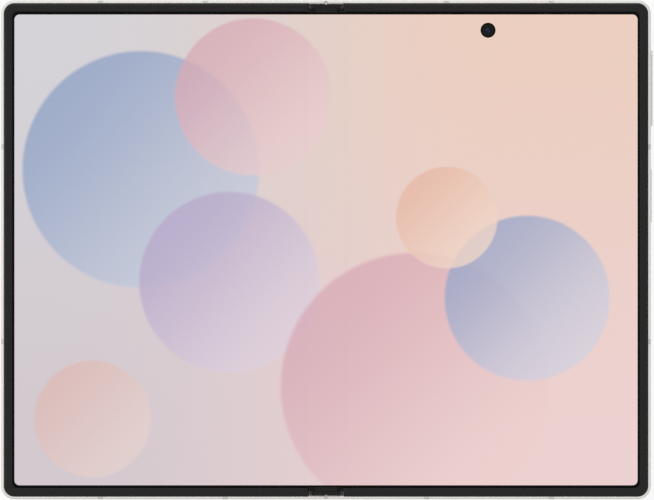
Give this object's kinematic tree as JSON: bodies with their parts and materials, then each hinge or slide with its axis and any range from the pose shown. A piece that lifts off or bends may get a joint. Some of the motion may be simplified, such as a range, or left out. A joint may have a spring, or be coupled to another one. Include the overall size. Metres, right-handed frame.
{
  "type": "foldable smartphone",
  "caption": "Book-style foldable phone lying open, with a bending inner display, a geared two-axis hinge, side keys, a card tray and a rear camera plateau.",
  "frame": {"origin": "under the middle of the open phone, level with the lowest face of the rear camera plateau", "axes": "+X runs across both halves towards the half with the keys, +Y runs along the hinge towards the inner camera, +Z points out of the inner screen"},
  "size_m": [0.1619, 0.1238, 0.0073],
  "materials": {
    "spine_cover": "machined and anodised",
    "spine_end_caps": "moulded plastic, fine matte",
    "hinge_bracket_top": "sintered steel",
    "hinge_bracket_bottom": "sintered steel",
    "hinge_pins": "ground steel pins",
    "idler_pins": "ground steel pins",
    "friction_discs": "sintered steel",
    "bracket_screws": "black oxide steel",
    "display_fold": "laminated flexible display, soft gloss",
    "hinge_flex_cable": "polyimide flat cable",
    "left_frame": "bead blasted and anodised silver",
    "left_antenna_bands": "moulded plastic, satin",
    "left_bezel": "moulded plastic, fine matte",
    "left_backplate": "sintered steel",
    "left_display": "laminated flexible display, soft gloss",
    "cover_glass": "black cover glass, polished",
    "cover_display": "display panel",
    "left_battery": "foil pouch",
    "left_board": "solder-masked board",
    "cover_camera": "black moulding",
    "earpiece_speaker": "black moulding",
    "card_reader": "sintered steel",
    "left_hinge_arms": "sintered steel",
    "left_arm_screws": "black oxide steel",
    "left_wing_pins": "ground steel pins",
    "right_frame": "bead blasted and anodised silver",
    "right_antenna_bands": "moulded plastic, satin",
    "right_bezel": "moulded plastic, fine matte",
    "right_backplate": "sintered steel",
    "right_display": "laminated flexible display, soft gloss",
    "rear_glass": "frosted silver back glass",
    "camera_island": "anodised silver plateau",
    "camera_rings": "polished ring",
    "camera_lenses": "coated sapphire over black",
    "rear_camera_modules": "black moulding",
    "flash_lamp": "diffusing lamp cover",
    "right_battery": "foil pouch",
    "main_board": "solder-masked board",
    "shield_cans": "sintered steel",
    "usb_c_port": "sintered steel",
    "bottom_speaker": "black moulding",
    "haptic_motor": "sintered steel",
    "charging_coil": "copper coil on a ferrite sheet",
    "inner_camera": "black moulding",
    "side_key_switches": "polyimide flat cable",
    "right_hinge_arms": "sintered steel",
    "right_arm_screws": "black oxide steel",
    "right_wing_pins": "ground steel pins",
    "left_wing": "sintered steel",
    "right_wing": "sintered steel",
    "idler_top_left": "sintered steel",
    "idler_top_right": "sintered steel",
    "idler_bottom_left": "sintered steel",
    "idler_bottom_right": "sintered steel",
    "power_key": "bead blasted and anodised silver",
    "volume_key": "bead blasted and anodised silver",
    "card_tray": "bead blasted and anodised silver"
  },
  "bodies": {
    "hinge_spine": {"spine_cover": "spine_cover", "spine_end_caps": "spine_end_caps", "hinge_bracket_top": "hinge_bracket_top", "hinge_bracket_bottom": "hinge_bracket_bottom", "hinge_pins": "hinge_pins", "idler_pins": "idler_pins", "friction_discs": "friction_discs", "bracket_screws": "bracket_screws", "display_fold": "display_fold", "hinge_flex_cable": "hinge_flex_cable"},
    "left_half": {"left_frame": "left_frame", "left_antenna_bands": "left_antenna_bands", "left_bezel": "left_bezel", "left_backplate": "left_backplate", "left_display": "left_display", "cover_glass": "cover_glass", "cover_display": "cover_display", "left_battery": "left_battery", "left_board": "left_board", "cover_camera": "cover_camera", "earpiece_speaker": "earpiece_speaker", "card_reader": "card_reader", "left_hinge_arms": "left_hinge_arms", "left_arm_screws": "left_arm_screws", "left_wing_pins": "left_wing_pins"},
    "right_half": {"right_frame": "right_frame", "right_antenna_bands": "right_antenna_bands", "right_bezel": "right_bezel", "right_backplate": "right_backplate", "right_display": "right_display", "rear_glass": "rear_glass", "camera_island": "camera_island", "camera_rings": "camera_rings", "camera_lenses": "camera_lenses", "rear_camera_modules": "rear_camera_modules", "flash_lamp": "flash_lamp", "right_battery": "right_battery", "main_board": "main_board", "shield_cans": "shield_cans", "usb_c_port": "usb_c_port", "bottom_speaker": "bottom_speaker", "haptic_motor": "haptic_motor", "charging_coil": "charging_coil", "inner_camera": "inner_camera", "side_key_switches": "side_key_switches", "right_hinge_arms": "right_hinge_arms", "right_arm_screws": "right_arm_screws", "right_wing_pins": "right_wing_pins"},
    "left_wing": {"left_wing": "left_wing"},
    "right_wing": {"right_wing": "right_wing"},
    "idler_top_left": {"idler_top_left": "idler_top_left"},
    "idler_top_right": {"idler_top_right": "idler_top_right"},
    "idler_bottom_left": {"idler_bottom_left": "idler_bottom_left"},
    "idler_bottom_right": {"idler_bottom_right": "idler_bottom_right"},
    "power_key": {"power_key": "power_key"},
    "volume_key": {"volume_key": "volume_key"},
    "card_tray": {"card_tray": "card_tray"}
  },
  "joints": [
    {"name": "right_fold", "type": "hinge", "parent": "hinge_spine", "child": "right_half", "pos_m": [0.0014, 0, 0.00595], "axis": [0, -1, 0], "range_deg": [0, 90], "deforming": ["display_fold", "hinge_flex_cable"]},
    {"name": "left_fold", "type": "hinge", "parent": "hinge_spine", "child": "left_half", "pos_m": [-0.0014, 0, 0.00595], "axis": [0, 1, 0], "range_deg": [0, 90], "deforming": ["display_fold", "hinge_flex_cable"]},
    {"name": "left_wing_tilt", "type": "hinge", "parent": "left_half", "child": "left_wing", "pos_m": [-0.006, 0, 0.00602], "axis": [0, 1, 0], "range_deg": [0, 18]},
    {"name": "right_wing_tilt", "type": "hinge", "parent": "right_half", "child": "right_wing", "pos_m": [0.006, 0, 0.00602], "axis": [0, -1, 0], "range_deg": [0, 18]},
    {"name": "idler_top_left_spin", "type": "hinge", "parent": "hinge_spine", "child": "idler_top_left", "pos_m": [-0.0009, 0.047, 0.00454], "axis": [0, -1, 0], "range_deg": [0, 60]},
    {"name": "idler_top_right_spin", "type": "hinge", "parent": "hinge_spine", "child": "idler_top_right", "pos_m": [0.0009, 0.047, 0.00454], "axis": [0, 1, 0], "range_deg": [0, 60]},
    {"name": "idler_bottom_left_spin", "type": "hinge", "parent": "hinge_spine", "child": "idler_bottom_left", "pos_m": [-0.0009, -0.047, 0.00454], "axis": [0, -1, 0], "range_deg": [0, 60]},
    {"name": "idler_bottom_right_spin", "type": "hinge", "parent": "hinge_spine", "child": "idler_bottom_right", "pos_m": [0.0009, -0.047, 0.00454], "axis": [0, 1, 0], "range_deg": [0, 60]},
    {"name": "power_key_press", "type": "slide", "parent": "right_half", "child": "power_key", "axis": [-1, 0, 0], "range_m": [0, 0.00025], "stiffness_N_per_m": 3000},
    {"name": "volume_key_rock", "type": "hinge", "parent": "right_half", "child": "volume_key", "pos_m": [0.07975, 0.0402, 0.0047], "axis": [0, 0, 1], "range_deg": [-1.2, 1.2], "stiffness_Nm_per_rad": 0.6},
    {"name": "card_tray_slide", "type": "slide", "parent": "left_half", "child": "card_tray", "axis": [0, -1, 0], "range_m": [0, 0.018]}
  ],
  "couplings": [
    {"joint": "left_fold", "follows": "right_fold", "ratio": 1},
    {"joint": "left_wing_tilt", "follows": "right_fold", "ratio": 0.2},
    {"joint": "right_wing_tilt", "follows": "right_fold", "ratio": 0.2},
    {"joint": "idler_top_left_spin", "follows": "right_fold", "ratio": 0.66666},
    {"joint": "idler_top_right_spin", "follows": "right_fold", "ratio": 0.66666},
    {"joint": "idler_bottom_left_spin", "follows": "right_fold", "ratio": 0.66666},
    {"joint": "idler_bottom_right_spin", "follows": "right_fold", "ratio": 0.66666}
  ]
}
